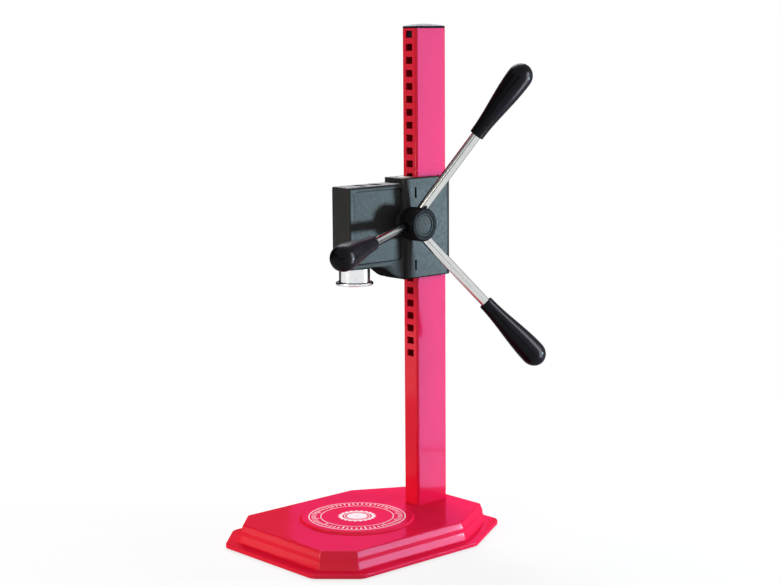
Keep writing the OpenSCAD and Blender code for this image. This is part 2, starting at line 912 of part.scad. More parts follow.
module bell_cup() {
    color([0.85, 0.86, 0.88])
        translate([0, 0, bell_under_z])
            difference() {
                union() {
                    rotate_extrude()
                        polygon(concat(
                            [[0, bell_height], [0, 0]],
                            [
                                for (a = [-90 : 180 / lip_steps : 90])
                                    [lip_radius - lip_round * (1 - cos(a)), lip_round * (1 + sin(a))]
                            ],
                            [[bell_radius, lip_height], [bell_radius, bell_height]]
                        ));
                    cylinder(h = bell_height + neck_height, r = neck_radius);
                }
                translate([0, 0, -lap])
                    cylinder(h = throat_depth + lap, r = throat_radius);
                cylinder(h = mouth_height, r1 = mouth_radius, r2 = throat_radius);
                translate([0, 0, throat_depth - lap])
                    cylinder(h = magnet_thickness + fit + lap, r = magnet_radius + fit);
                cylinder(h = bell_height + neck_height + lap, r = stud_radius + thread_fit);
            }
}

module bell_magnet() {
    color("gray")
        translate([0, 0, magnet_z])
            cylinder(h = magnet_thickness, r = magnet_radius);
}

// Pinion and shaft

// One tooth on the wheel's axis, rounded off at the tip circle
module pinion_tooth() {
    tooth_foot = root_radius - 2 * lap;
    rotate([90, 0, 0])
        intersection() {
            linear_extrude(height = tooth_width, center = true)
                polygon([
                    [tooth_foot, -tooth_thickness / 2], [pitch_radius, -tooth_thickness / 2],
                    [tip_radius + lap, -tip_thickness / 2], [tip_radius + lap, tip_thickness / 2],
                    [pitch_radius, tooth_thickness / 2], [tooth_foot, tooth_thickness / 2]
                ]);
            cylinder(h = 2 * tooth_width, r = tip_radius, center = true);
        }
}

// Cross hole or cross pin through the pinion's rear boss
module cross_pin(r, length) {
    translate([pinion_x, (tooth_width / 2 + plug_y - boss_gap) / 2, axis_height])
        rotate([0, pinion_phase, 0])
            cylinder(h = length, r = r, center = true);
}

module pinion() {
    color("dimgray")
        difference() {
            union() {
                translate([pinion_x, 0, axis_height])
                    rotate([0, pinion_phase, 0]) {
                        rotate([90, 0, 0])
                            cylinder(h = tooth_width, r = root_radius, center = true);
                        for (i = [0 : pinion_teeth - 1])
                            rotate([0, i * 360 / pinion_teeth, 0])
                                pinion_tooth();
                    }
                on_axis(plug_y - boss_gap)
                    cylinder(h = plug_y - chamber_front_y - 2 * boss_gap, r = boss_radius);
            }
            on_axis(plug_y + lap)
                cylinder(h = plug_y - chamber_front_y + 2 * lap, r = shaft_radius + thread_fit);
            cross_pin(pin_radius + thread_fit, 4 * boss_radius);
        }
}

module pinion_pin() {
    color("silver")
        cross_pin(pin_radius, 2 * boss_radius - lap);
}

// Shaft section with the driving flat cut off its upper side
module driving_section(r, clearance, length) {
    difference() {
        cylinder(h = length, r = r + clearance);
        translate([-2 * r, r - flat_depth + clearance, -lap])
            cube([4 * r, 2 * r, length + 2 * lap]);
    }
}

module pinion_shaft() {
    color("silver")
        difference() {
            union() {
                on_axis(bush_end_y - lap)
                    cylinder(h = bush_end_y - lap - spring_end_y, r = shaft_radius);
                on_axis(spring_end_y)
                    driving_section(shaft_radius, 0, spring_end_y - shaft_front_y);
            }
            on_axis(shaft_front_y + hub_screw_grip + hole_runout)
                cylinder(h = hub_screw_grip + hole_runout + lap, r = hub_screw_radius + thread_fit);
            cross_pin(pin_radius + thread_fit, 4 * shaft_radius);
        }
}

module friction_washer() {
    color([0.92, 0.91, 0.86])
        on_axis(washer_y)
            difference() {
                cylinder(h = friction_thickness, r = washer_radius);
                translate([0, 0, -lap])
                    cylinder(h = friction_thickness + 2 * lap, r = shaft_radius + fit);
            }
}

module spring_washer() {
    plate = spring_height / 2;
    color("silver")
        on_axis(spring_y)
            rotate_extrude()
                polygon([
                    [shaft_radius + fit, plate], [shaft_radius + fit, spring_height],
                    [washer_radius, plate], [washer_radius, 0]
                ]);
}

// Wheel

module hub() {
    color([0.10, 0.10, 0.11])
        difference() {
            on_axis(hub_rear_y)
                rotate_extrude()
                    polygon(concat(
                        [[0, hub_length], [0, 0], [hub_radius - hub_edge / 2, 0], [hub_radius, hub_edge / 2]],
                        [
                            for (s = [0 : corner_steps])
                                [
                                    hub_radius - hub_edge * (1 - cos(90 * s / corner_steps)),
                                    hub_length - hub_edge * (1 - sin(90 * s / corner_steps))
                                ]
                        ]
                    ));
            on_axis(hub_rear_y + lap)
                cylinder(h = hub_rear_y + lap - spring_end_y, r = washer_radius + fit);
            on_axis(spring_end_y + lap)
                driving_section(shaft_radius, thread_fit, spring_end_y + lap - shaft_front_y + fit);
            on_axis(shaft_front_y + lap)
                cylinder(h = lap - hub_front_y + shaft_front_y, r = hub_screw_radius + fit);
            on_axis(hub_head_y)
                cylinder(h = hub_head_y - hub_cap_y + lap, r = hub_head_radius + fit);
            on_axis(hub_cap_y)
                cylinder(h = hub_cap_y - hub_front_y + lap, r = hub_cap_radius + fit);
            for (i = [0 : spoke_count - 1])
                on_spoke(i)
                    translate([0, 0, rod_start - fit])
                        cylinder(h = 2 * hub_radius, r = rod_radius + thread_fit);
        }
}

module hub_screw() {
    color("silver") {
        on_axis(hub_head_y)
            cylinder(h = hub_screw_head, r = hub_head_radius);
        on_axis(shaft_front_y + hub_screw_grip)
            cylinder(h = shaft_front_y + hub_screw_grip - hub_head_y + hub_screw_head / 2, r = hub_screw_radius);
    }
}

module hub_cap() {
    color([0.33, 0.34, 0.36])
        on_axis(hub_cap_y)
            cylinder(h = hub_cap_thickness, r = hub_cap_radius);
}

module spoke_rod(i) {
    color([0.85, 0.86, 0.88])
        on_spoke(i)
            translate([0, 0, rod_start])
                cylinder(h = grip_start + grip_bore - rod_start, r = rod_radius);
}

module grip(i) {
    color([0.06, 0.06, 0.08])
        on_spoke(i)
            translate([0, 0, grip_start])
                difference() {
                    rotate_extrude()
                        polygon(concat(
                            [[0, 0], [grip_mouth - lap, 0]],
                            [
                                for (s = [0 : grip_steps])
                                    [grip_radius(s * grip_swell / grip_steps), max(s * grip_swell / grip_steps, lap)]
                            ],
                            [
                                for (s = [1 : dome_steps])
                                    [
                                        s < dome_steps ? grip_belly * cos(90 * s / dome_steps) : 0,
                                        grip_swell + grip_dome * sin(90 * s / dome_steps)
                                    ]
                            ]
                        ));
                    translate([0, 0, -lap])
                        cylinder(h = grip_bore + fit + lap, r = rod_radius + thread_fit);
                }
}

base_plate();
rubber_feet();
backing_plate();
base_washers();
base_bolts();
column_tube();
column_foot();
column_cap();
head_body();
guide_block_upper();
guide_block_lower();
guide_keys();
rear_guide_pads();
bush_front();
bush_rear();
bearing_cover();
cover_screws();
bell_insert();
bell_stud();
bell_cup();
bell_magnet();
pinion();
pinion_pin();
pinion_shaft();
friction_washer();
spring_washer();
hub();
hub_screw();
hub_cap();
spoke_rod(0);  // spoke_rod_1
spoke_rod(1);  // spoke_rod_2
spoke_rod(2);  // spoke_rod_3
grip(0);  // grip_1
grip(1);  // grip_2
grip(2);  // grip_3
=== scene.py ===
"""Looks of a bench capper for crown caps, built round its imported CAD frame. Metres, +Z up."""
import math

import bmesh
import bpy
from mathutils import Matrix, Vector


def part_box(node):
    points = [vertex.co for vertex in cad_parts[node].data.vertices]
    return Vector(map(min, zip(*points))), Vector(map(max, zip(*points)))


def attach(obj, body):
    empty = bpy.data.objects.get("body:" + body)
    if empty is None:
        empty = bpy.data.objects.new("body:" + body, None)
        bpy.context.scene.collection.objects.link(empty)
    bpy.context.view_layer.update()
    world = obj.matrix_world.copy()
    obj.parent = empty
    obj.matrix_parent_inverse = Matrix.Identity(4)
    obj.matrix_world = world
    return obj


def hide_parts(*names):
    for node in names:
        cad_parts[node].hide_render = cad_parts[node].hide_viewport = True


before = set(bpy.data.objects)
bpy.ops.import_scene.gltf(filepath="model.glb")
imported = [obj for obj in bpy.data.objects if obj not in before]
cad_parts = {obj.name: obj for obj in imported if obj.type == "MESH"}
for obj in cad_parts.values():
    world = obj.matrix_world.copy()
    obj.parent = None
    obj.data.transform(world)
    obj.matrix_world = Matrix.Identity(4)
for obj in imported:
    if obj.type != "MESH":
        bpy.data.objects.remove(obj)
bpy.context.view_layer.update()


# Camera
# A long lens at the photograph's place, to the left front of the capper and nearly as high as its column.
# The picture is 780 by 585, and the focal length is for a sensor 36 mm wide.
SENSOR_WIDTH = 36.0
FOCAL_LENGTH = 77.88
VIEW_REACH = 50.0
camera_place = Vector((-1.09898, -1.26402, 0.48684))
camera_heading = math.radians(42.216)
camera_dip = math.radians(8.676)
camera_roll = math.radians(-0.418)
ahead = Vector((
    math.sin(camera_heading) * math.cos(camera_dip),
    math.cos(camera_heading) * math.cos(camera_dip),
    -math.sin(camera_dip),
))
level_right = Vector((math.cos(camera_heading), -math.sin(camera_heading), 0.0))
level_up = level_right.cross(ahead)
camera_right = level_right * math.cos(camera_roll) + level_up * math.sin(camera_roll)
camera_up = level_up * math.cos(camera_roll) - level_right * math.sin(camera_roll)
lens = bpy.data.cameras.new("photo_camera")
lens.sensor_width = SENSOR_WIDTH
lens.lens = FOCAL_LENGTH
lens.clip_end = VIEW_REACH
camera = bpy.data.objects.new("photo_camera", lens)
camera_turn = Matrix((camera_right, camera_up, -ahead)).transposed().to_4x4()
camera.matrix_world = Matrix.Translation(camera_place) @ camera_turn
bpy.context.scene.collection.objects.link(camera)
bpy.context.scene.camera = camera
bpy.context.scene.view_settings.view_transform = "Standard"


# Studio floor and room
# A plain white floor that keeps the capper's soft shadow and fades into a white room.
# The room is dimmer as a light than it looks, so that the lamps shape the pieces.
FLOOR_Z = -0.025
FLOOR_HALF = 8.0
SHADOW_REACH = (0.18, 0.55)
SHADOW_SHARE = 0.25
PAPER_SHOWN = (0.9, 0.9, 0.9, 1.0)
PAPER_BOUNCE = (0.45, 0.45, 0.45, 1.0)
ROOM_LIGHT = 0.32


def seen_directly(tree):
    """1 for rays that show a surface itself: to the camera, in a mirror or through glass."""
    rays = tree.nodes.new("ShaderNodeLightPath")
    mirror = tree.nodes.new("ShaderNodeMath")
    mirror.operation = "MAXIMUM"
    tree.links.new(rays.outputs["Is Camera Ray"], mirror.inputs[0])
    tree.links.new(rays.outputs["Is Glossy Ray"], mirror.inputs[1])
    either = tree.nodes.new("ShaderNodeMath")
    either.operation = "MAXIMUM"
    tree.links.new(mirror.outputs["Value"], either.inputs[0])
    tree.links.new(rays.outputs["Is Transmission Ray"], either.inputs[1])
    return either.outputs["Value"]


floor_paper = bpy.data.materials.new("white_paper")
floor_paper.use_nodes = True
paper = floor_paper.node_tree
paper.nodes.clear()
paper_place = paper.nodes.new("ShaderNodeTexCoord")
paper_distance = paper.nodes.new("ShaderNodeVectorMath")
paper_distance.operation = "LENGTH"
paper.links.new(paper_place.outputs["Object"], paper_distance.inputs[0])
paper_fade = paper.nodes.new("ShaderNodeMapRange")
paper_fade.interpolation_type = "SMOOTHSTEP"
paper_fade.inputs["From Min"].default_value = SHADOW_REACH[0]
paper_fade.inputs["From Max"].default_value = SHADOW_REACH[1]
paper_fade.inputs["To Min"].default_value = 1.0 - SHADOW_SHARE
paper_fade.inputs["To Max"].default_value = 1.0
paper.links.new(paper_distance.outputs["Value"], paper_fade.inputs["Value"])
paper_matte = paper.nodes.new("ShaderNodeBsdfDiffuse")
paper_matte.inputs["Color"].default_value = PAPER_SHOWN
paper_bounce = paper.nodes.new("ShaderNodeBsdfDiffuse")
paper_bounce.inputs["Color"].default_value = PAPER_BOUNCE
paper_white = paper.nodes.new("ShaderNodeEmission")
paper_shown = paper.nodes.new("ShaderNodeMixShader")
paper.links.new(paper_fade.outputs["Result"], paper_shown.inputs["Fac"])
paper.links.new(paper_matte.outputs["BSDF"], paper_shown.inputs[1])
paper.links.new(paper_white.outputs["Emission"], paper_shown.inputs[2])
paper_mix = paper.nodes.new("ShaderNodeMixShader")
paper.links.new(seen_directly(paper), paper_mix.inputs["Fac"])
paper.links.new(paper_bounce.outputs["BSDF"], paper_mix.inputs[1])
paper.links.new(paper_shown.outputs["Shader"], paper_mix.inputs[2])
paper_out = paper.nodes.new("ShaderNodeOutputMaterial")
paper.links.new(paper_mix.outputs["Shader"], paper_out.inputs["Surface"])
floor_mesh = bpy.data.meshes.new("studio_floor")
floor_signs = [(-1, -1), (1, -1), (1, 1), (-1, 1)]
floor_corners = [(x * FLOOR_HALF, y * FLOOR_HALF, FLOOR_Z) for x, y in floor_signs]
floor_mesh.from_pydata(floor_corners, [], [(0, 1, 2, 3)])
floor_mesh.materials.append(floor_paper)
studio_floor = bpy.data.objects.new("studio_floor", floor_mesh)
bpy.context.scene.collection.objects.link(studio_floor)

room = bpy.data.worlds.new("white_room")
room.use_nodes = True
bpy.context.scene.world = room
room_tree = room.node_tree
room_glow = room_tree.nodes["Background"]
room_level = room_tree.nodes.new("ShaderNodeMapRange")
room_level.inputs["To Min"].default_value = ROOM_LIGHT
room_level.inputs["To Max"].default_value = 1.0
room_tree.links.new(seen_directly(room_tree), room_level.inputs["Value"])
room_tree.links.new(room_level.outputs["Result"], room_glow.inputs["Strength"])
room_glow.inputs["Color"].default_value = (1.0, 1.0, 1.0, 1.0)


# Flags
# Six upright cards round the capper, seen only in glossy surfaces. They give the rods and the bell
# their dark lines, as black cards do in a studio.
BLACK_CARD = 0.01
GREY_CARD = 0.26
FLAG_FAR = 2.6
FLAG_NEAR = 1.2

# Turn from the camera's heading in degrees, distance, width, lower edge, upper edge, brightness
FLAGS = {
    "left": (-52.0, FLAG_FAR, 2.8, FLOOR_Z, 3.6, BLACK_CARD),
    "right": (28.0, FLAG_FAR, 0.75, FLOOR_Z, 3.6, BLACK_CARD),
    "front": (195.0, FLAG_FAR, 3.2, 0.22, 0.62, BLACK_CARD),
    "high_left": (-108.0, FLAG_FAR, 2.6, 0.9, 2.2, GREY_CARD),
    "low_left": (-42.0, FLAG_NEAR, 0.8, FLOOR_Z, 0.35, BLACK_CARD),
    "low_right": (54.0, FLAG_NEAR, 0.4, FLOOR_Z, 0.35, BLACK_CARD),
}
for side, (turn, distance, width, low, high, level) in FLAGS.items():
    flag_card = bpy.data.materials.new("flag_card_" + side)
    flag_card.use_nodes = True
    flag_shader = flag_card.node_tree.nodes["Principled BSDF"]
    flag_shader.inputs["Base Color"].default_value = (0.0, 0.0, 0.0, 1.0)
    flag_shader.inputs["Specular IOR Level"].default_value = 0.0
    flag_shader.inputs["Emission Color"].default_value = (1.0, 1.0, 1.0, 1.0)
    flag_shader.inputs["Emission Strength"].default_value = level
    heading = camera_heading + math.radians(turn)
    away = Vector((math.sin(heading), math.cos(heading), 0.0)) * distance
    across = Vector((math.cos(heading), -math.sin(heading), 0.0)) * width / 2
    foot = Vector((0.0, 0.0, low))
    rise = Vector((0.0, 0.0, high))
    flag_mesh = bpy.data.meshes.new("flag_" + side)
    flag_corners = [away - across + foot, away + across + foot, away + across + rise, away - across + rise]
    flag_mesh.from_pydata([tuple(corner) for corner in flag_corners], [], [(0, 1, 2, 3)])
    flag_mesh.materials.append(flag_card)
    flag = bpy.data.objects.new("flag_" + side, flag_mesh)
    flag.visible_camera = False
    flag.visible_diffuse = False
    flag.visible_shadow = False
    flag.visible_transmission = False
    bpy.context.scene.collection.objects.link(flag)


# Lamps
# A small cool key at the right front casts the wheel's shadow on the head, with a broad lamp behind and
# a warm one at the left. Strips and panels that light only some pieces give these the photograph's sheen.


def hang_lamp(name, place, aim, size, watts, colour):
    """A rectangular lamp that faces a point, with its width and height as its size."""
    lamp = bpy.data.lights.new(name, "AREA")
    lamp.shape = "RECTANGLE"
    lamp.size = size[0]
    lamp.size_y = size[1]
    lamp.energy = watts
    lamp.color = colour
    holder = bpy.data.objects.new(name, lamp)
    holder.location = place
    holder.rotation_euler = (Vector(aim) - Vector(place)).to_track_quat("-Z", "Y").to_euler()
    holder.visible_camera = False
    bpy.context.scene.collection.objects.link(holder)
    return holder


def link_light(lamp, state, *pieces):
    """Keeps a lamp's light on some pieces (INCLUDE), or off them (EXCLUDE)."""
    linked = bpy.data.collections.new(lamp.name + "_linked")
    for piece in pieces:
        linked.objects.link(piece)
    for entry in linked.collection_objects:
        entry.light_linking.link_state = state
    lamp.light_linking.receiver_collection = linked


# Two lamps hang at the key's place and two at the one behind, so that one piece gets its own share.
KEY = {
    "place": (0.86, -0.76, 0.18), "aim": (0.05, 0.0, 0.29), "size": (0.14, 0.14),
    "colour": (0.62, 0.88, 1.0),
}
BACK = {
    "place": (0.75, 0.85, 1.35), "aim": (0.03, 0.0, 0.1), "size": (0.9, 0.9),
    "colour": (0.92, 0.92, 1.0),
}
key_right = hang_lamp("key_right", watts=8.4, **KEY)
key_head = hang_lamp("key_head", watts=6.2, **KEY)
strip_column = hang_lamp(
    "strip_column", place=(0.32, -0.24, 0.31), aim=(0.10, 0.0, 0.31), size=(0.13, 0.68),
    watts=3.9, colour=(0.44, 0.37, 1.0))
strip_foot = hang_lamp(
    "strip_foot", place=(0.174, -0.108, 0.001), aim=(0.097, -0.0105, 0.039), size=(0.055, 0.040),
    watts=0.08, colour=(0.38, 0.42, 1.0))
strip_base = hang_lamp(
    "strip_base", place=(0.24, -0.36, 0.085), aim=(0.0, -0.09, 0.0), size=(0.36, 0.13),
    watts=2.3, colour=(0.34, 0.58, 1.0))
strip_left = hang_lamp(
    "strip_left", place=(-0.42, 0.30, 0.04), aim=(-0.10, 0.0, -0.012), size=(0.36, 0.10),
    watts=0.5, colour=(1.0, 0.40, 0.34))
sheen_deck = hang_lamp(
    "sheen_deck", place=(0.57, 0.56, 0.25), aim=(0.0, 0.0, 0.0), size=(0.33, 0.35),
    watts=3.2, colour=(1.0, 0.04, 0.50))
strip_grips = hang_lamp(
    "strip_grips", place=(0.34, -0.44, 0.30), aim=(0.12, -0.09, 0.30), size=(0.22, 0.64),
    watts=8.5, colour=(0.92, 0.90, 1.0))
deck_back = hang_lamp("deck_back", watts=13.0, **BACK)
softbox_back = hang_lamp("softbox_back", watts=27.0, **BACK)
softbox_left = hang_lamp(
    "softbox_left", place=(-1.55, 0.15, 0.45), aim=(0.05, 0.0, 0.2), size=(0.6, 0.6),
    watts=11.0, colour=(1.0, 0.88, 0.66))


# Base
# A pressed sheet of steel with two sloping bands, a turned-down rim and a raised round bottle pad,
# stove enamelled in gloss red. It is drawn here with the soft radii that the press leaves.
# Lengths are in millimetres.
MM = 0.001
DECK_LENGTH = 230.0
DECK_WIDTH = 170.0
DECK_FRONT = 100.0
FRONT_CUT = (25.0, 24.0)
REAR_CUT = (64.0, 36.0)
SHEET = 2.0
DECK_Z = -2.0
WAIST_TOP_Z = -8.5
WAIST_FOOT_Z = -12.5
RIM_Z = -20.0
RIM_FOOT_Z = -24.0
WAIST_TOP_OUT = 2.2
WAIST_FOOT_OUT = 2.5
BAND_FOOT_OUT = 5.4
RIM_OUT = 17.4
DECK_MARGIN = 6.0
PAD_RADIUS = 58.5
PAD_TOP_RADIUS = 57.1
PAD_RINGS = (0.0, 30.0, 54.0)
PAD_SURROUND = 61.0
PAD_BENDS = [1.0, 0.8]
OUTER_BENDS = [1.6, 2.5, 2.5, 1.8, 1.3]
INNER_BENDS = [0.6, 0.4, 0.5, 0.4, 0.4]
DECK_CORNER = 4.0
RIM_CORNER = 13.0
LEAST_CORNER = 0.5
CORNER_STEPS = 8
SIDE_PARTS = 10


def cut_slide(along, across):
    """How far a cut corner's end slides along its side for each millimetre of outward growth."""
    return (math.hypot(along, across) - along) / across


def deck_corners(grow):
    """The deck's eight corners, anticlockwise, moved outwards."""
    front = -DECK_FRONT - grow
    back = DECK_LENGTH - DECK_FRONT + grow
    side = DECK_WIDTH / 2 + grow
    front_turn_x = FRONT_CUT[0] - DECK_FRONT - grow * cut_slide(*FRONT_CUT)
    front_turn_y = DECK_WIDTH / 2 - FRONT_CUT[1] + grow * cut_slide(FRONT_CUT[1], FRONT_CUT[0])
    back_turn_x = DECK_LENGTH - DECK_FRONT - REAR_CUT[0] + grow * cut_slide(*REAR_CUT)
    back_turn_y = DECK_WIDTH / 2 - REAR_CUT[1] + grow * cut_slide(REAR_CUT[1], REAR_CUT[0])
    half = [(back, back_turn_y), (back_turn_x, side), (front_turn_x, side), (front, front_turn_y)]
    return [Vector(p) for p in half] + [Vector((x, -y)) for x, y in reversed(half)]


def deck_outline(grow, radius):
    """Points round the deck, moved outwards, with round corners and evenly parted sides."""
    corners = deck_corners(grow - radius)
    count = len(corners)
    bends = []
    for i in range(count):
        before = corners[i] - corners[i - 1]
        after = corners[(i + 1) % count] - corners[i]
        start = math.atan2(before.y, before.x) - math.pi / 2
        turn = (math.atan2(after.y, after.x) - math.pi / 2 - start) % (2 * math.pi)
        steps = [start + turn * s / CORNER_STEPS for s in range(CORNER_STEPS + 1)]
        bends.append([corners[i] + radius * Vector((math.cos(a), math.sin(a))) for a in steps])
    points = []
    for i in range(count):
        points += bends[i]
        side_start = bends[i][-1]
        side_end = bends[(i + 1) % count][0]
        points += [side_start.lerp(side_end, s / SIDE_PARTS) for s in range(1, SIDE_PARTS)]
    return points


def soften(path, radii, steps=5):
    """A flat path with its corners rounded to the given radii."""
    soft = [path[0]]
    for i in range(1, len(path) - 1):
        corner = Vector(path[i])
        back = (Vector(path[i - 1]) - corner).normalized()
        on = (Vector(path[i + 1]) - corner).normalized()
        half_angle = back.angle(on) / 2
        reach = radii[i - 1] / math.tan(half_angle)
        centre = corner + (back + on).normalized() * radii[i - 1] / math.sin(half_angle)
        first = corner + back * reach - centre
        last = corner + on * reach - centre
        swing = first.angle_signed(last)
        for s in range(steps + 1):
            soft.append(tuple(centre + Matrix.Rotation(-swing * s / steps, 2) @ first))
    soft.append(path[-1])
    return soft


def skin(name, rows):
    """A mesh object through closed rows of equally many points."""
    mesh = bpy.data.meshes.new(name)
    width = len(rows[0])
    faces = []
    for first in range(0, width * (len(rows) - 1), width):
        following = first + width
        for i in range(width):
            j = (i + 1) % width
            faces.append((first + i, first + j, following + j, following + i))
    mesh.from_pydata([tuple(Vector(p) * MM) for row in rows for p in row], [], faces)
    built = bpy.data.objects.new(name, mesh)
    bpy.context.scene.collection.objects.link(built)
    return built


SHARP_ANGLE = math.radians(40.0)
DOUBLED = 0.001
DEGENERATE = 0.0001


def close_and_smooth(built):
    """Merges doubled points, turns the faces outwards and shades all but sharp edges smooth."""
    work = bmesh.new()
    work.from_mesh(built.data)
    bmesh.ops.remove_doubles(work, verts=work.verts, dist=DOUBLED * MM)
    bmesh.ops.dissolve_degenerate(work, edges=work.edges, dist=DEGENERATE * MM)
    bmesh.ops.recalc_face_normals(work, faces=work.faces)
    for face in work.faces:
        face.smooth = True
    for edge in work.edges:
        edge.smooth = edge.is_boundary or edge.calc_face_angle(0.0) < SHARP_ANGLE
    work.to_mesh(built.data)
    work.free()


def band_rows(shift, drop, radii):
    """Rows of points down the base's side, from the deck to the rim's foot."""
    path = [
        (-DECK_MARGIN, DECK_Z), (0.0, DECK_Z), (WAIST_TOP_OUT, WAIST_TOP_Z),
        (WAIST_FOOT_OUT, WAIST_FOOT_Z), (BAND_FOOT_OUT, RIM_Z), (RIM_OUT, RIM_Z),
    ]
    path = [(grow + shift, z + drop) for grow, z in path] + [(RIM_OUT + shift, RIM_FOOT_Z)]
    rows = []
    for grow, z in soften(path, radii):
        share = (grow - shift - BAND_FOOT_OUT) / (RIM_OUT - BAND_FOOT_OUT)
        share = min(max(share, 0.0), 1.0)
        corner = DECK_CORNER + (RIM_CORNER - DECK_CORNER) * share
        corner = max(corner + shift, LEAST_CORNER)
        rows.append([(p.x, p.y, z) for p in deck_outline(grow, corner)])
    return rows


deck_angles = [math.atan2(p.y, p.x) for p in deck_outline(0.0, DECK_CORNER)]


def pad_rows(path):
    """Rings of points at the given radii and heights, at the angles of the deck's own points."""
    return [[(r * math.cos(a), r * math.sin(a), z) for a in deck_angles] for r, z in path]


pad_edge = [(PAD_RINGS[-1], 0.0), (PAD_TOP_RADIUS, 0.0), (PAD_RADIUS, DECK_Z), (PAD_SURROUND, DECK_Z)]
pad_path = [(r, 0.0) for r in PAD_RINGS[:-1]] + soften(pad_edge, PAD_BENDS)
outer_rows = pad_rows(pad_path) + band_rows(0.0, 0.0, OUTER_BENDS)
under_radius = PAD_TOP_RADIUS - SHEET
under_path = [(0.0, -SHEET), (under_radius, -SHEET), (under_radius, DECK_Z - SHEET)]
inner_rows = pad_rows(under_path) + band_rows(-SHEET, -SHEET, INNER_BENDS)
base_pressing = skin("base_pressing", outer_rows + inner_rows[::-1])
close_and_smooth(base_pressing)


def speckle(tree, size_mm, detail):
    """Noise whose grains are about size_mm across, fixed to the piece."""
    place = tree.nodes.new("ShaderNodeTexCoord")
    scale = tree.nodes.new("ShaderNodeMapping")
    scale.inputs["Scale"].default_value = [1.0 / (size_mm * MM)] * 3
    noise = tree.nodes.new("ShaderNodeTexNoise")
    noise.inputs["Scale"].default_value = 1.0
    noise.inputs["Detail"].default_value = detail
    tree.links.new(place.outputs["Object"], scale.inputs["Vector"])
    tree.links.new(scale.outputs["Vector"], noise.inputs["Vector"])
    return noise.outputs["Fac"]


NOISE_SPAN = (0.3, 0.7)


def vary(tree, source, socket, low, high, span_from=NOISE_SPAN):
    """Drives a number on the shader from a noise or another value, between two values."""
    span = tree.nodes.new("ShaderNodeMapRange")
    span.inputs["From Min"].default_value = span_from[0]
    span.inputs["From Max"].default_value = span_from[1]
    span.inputs["To Min"].default_value = low
    span.inputs["To Max"].default_value = high
    tree.links.new(source, span.inputs["Value"])
    tree.links.new(span.outputs["Result"], socket)


def tone(tree, source, socket, dark, light):
    """Drives a colour on the shader from a noise, between two colours."""
    ramp = tree.nodes.new("ShaderNodeValToRGB")
    ramp.color_ramp.elements[0].position = NOISE_SPAN[0]
    ramp.color_ramp.elements[0].color = (*dark, 1.0)
    ramp.color_ramp.elements[1].position = NOISE_SPAN[1]
    ramp.color_ramp.elements[1].color = (*light, 1.0)
    tree.links.new(source, ramp.inputs["Fac"])
    tree.links.new(ramp.outputs["Color"], socket)


def dimple(tree, source, socket, height_mm):
    """Bumps a surface by a noise of the given height."""
    bump = tree.nodes.new("ShaderNodeBump")
    bump.inputs["Distance"].default_value = height_mm * MM
    tree.links.new(source, bump.inputs["Height"])
    tree.links.new(bump.outputs["Normal"], socket)


def mix_finish(
        name, tones, tone_grain, roughness, roughness_grain,
        bumps=None, bump_grain=None, levels=None):
    """A finish whose tone, roughness and surface vary. A grain is a size in millimetres and a detail."""
    finish = bpy.data.materials.new(name)
    finish.use_nodes = True
    tree = finish.node_tree
    shader = tree.nodes["Principled BSDF"]
    tone(tree, speckle(tree, *tone_grain), shader.inputs["Base Color"], *tones)
    vary(tree, speckle(tree, *roughness_grain), shader.inputs["Roughness"], *roughness)
    if bumps:
        surface = speckle(tree, *bump_grain)
        for socket, height_mm in bumps.items():
            dimple(tree, surface, shader.inputs[socket], height_mm)
    for socket, level in (levels or {}).items():
        shader.inputs[socket].default_value = level
    return finish


red_enamel = mix_finish(
    "red_enamel",
    tones=[(0.72, 0.0085, 0.037), (0.77, 0.0105, 0.044)], tone_grain=(45.0, 3.0),
    roughness=(0.38, 0.48), roughness_grain=(18.0, 4.0),
    bumps={"Normal": 0.012, "Coat Normal": 0.006}, bump_grain=(1.6, 1.0),
    levels={"Specular IOR Level": 0.0, "Coat Weight": 0.036, "Coat Roughness": 0.10, "Coat IOR": 4.0})
base_pressing.data.materials.append(red_enamel)
link_light(strip_base, "INCLUDE", base_pressing)
link_light(sheen_deck, "INCLUDE", base_pressing)
link_light(deck_back, "INCLUDE", base_pressing)
link_light(softbox_back, "EXCLUDE", base_pressing)
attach(base_pressing, "stand")
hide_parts("base_plate")


# Print on the bottle pad
# Centring marks screen printed in white ink: two rings with ticks between them round a plain crown cap.
# The ink stands a few hundredths of a millimetre proud of the enamel and is a little thin in places.
INK_TOP = 0.05
INK_FOOT = -0.05
RINGS = [(48.8, 49.8), (36.8, 37.6)]
RING_POINTS = 144
TICK_COUNT = 60
TICK_ENDS = (42.0, 47.0)
LONG_TICK_START = 39.5
LONG_TICK_EVERY = 5
TICK_WIDTH = 1.3
CAP_RINGS = [(12.4, 13.4), (0.8, 10.6)]
CAP_SKIRT = (15.2, 18.6)
CAP_TEETH = 21
CAP_TOOTH = 1.1
CAP_POINTS = 8 * CAP_TEETH


def ink_ring(inner, outer):
    """A closed band of ink between two outlines of equally many points."""
    foot = (inner, INK_FOOT)
    corners = [foot, (inner, INK_TOP), (outer, INK_TOP), (outer, INK_FOOT), foot]
    return skin("ink", [[(x, y, z) for x, y in outline] for outline, z in corners])


def round_outline(radius, count=RING_POINTS, wave=0.0):
    """Points round the pad's centre, on a circle or on the scalloped edge of a crown cap."""
    angles = [2 * math.pi * i / count for i in range(count)]
    reach = [radius + wave * math.cos(CAP_TEETH * a) for a in angles]
    return [(r * math.cos(a), r * math.sin(a)) for r, a in zip(reach, angles)]


